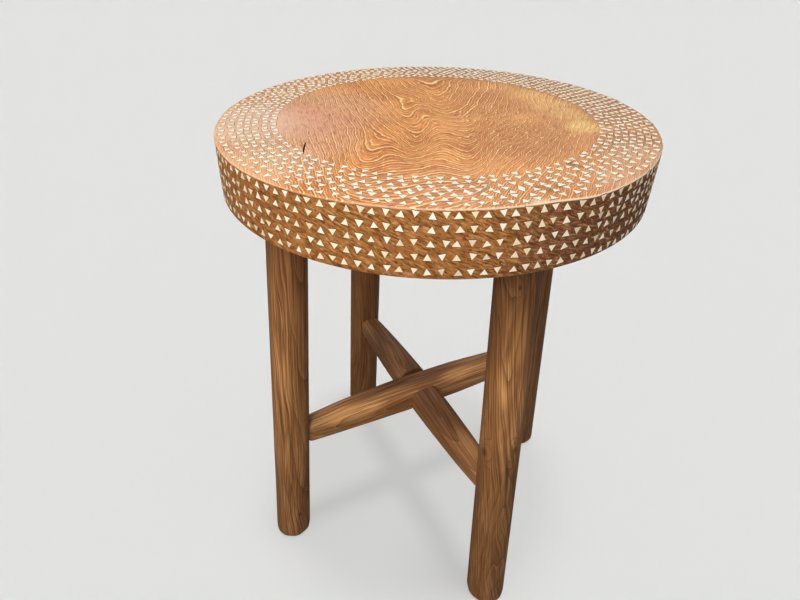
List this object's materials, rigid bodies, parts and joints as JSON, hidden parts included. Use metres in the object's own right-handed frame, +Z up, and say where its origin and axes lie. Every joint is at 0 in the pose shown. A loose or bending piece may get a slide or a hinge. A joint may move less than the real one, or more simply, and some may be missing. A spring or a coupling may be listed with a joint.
{
  "type": "round side table",
  "caption": "Round side table or stool: a thick teak slab inlaid with small shell triangles, on splayed round legs tied by crossing stretchers.",
  "frame": {"origin": "on the floor, under the middle of the slab", "axes": "+Z up; the legs stand on the X and Y axes, and the upper stretcher runs along X"},
  "size_m": [0.474, 0.474, 0.6004],
  "materials": {
    "slab_teak": "waxed teak, satin",
    "leg_teak": "waxed teak, satin",
    "stretcher_teak": "waxed teak, satin",
    "shell": "polished shell"
  },
  "bodies": {
    "root": {"top_slab": "slab_teak", "leg_right": "leg_teak", "leg_back": "leg_teak", "leg_left": "leg_teak", "leg_front": "leg_teak", "stretcher_upper": "stretcher_teak", "stretcher_lower": "stretcher_teak", "shell_top_ring_1": "shell", "shell_top_ring_2": "shell", "shell_top_ring_3": "shell", "shell_top_ring_4": "shell", "shell_top_ring_5": "shell", "shell_top_ring_6": "shell", "shell_top_ring_7": "shell", "shell_side_row_1": "shell", "shell_side_row_2": "shell", "shell_side_row_3": "shell", "shell_side_row_4": "shell", "shell_side_row_5": "shell"}
  },
  "joints": []
}
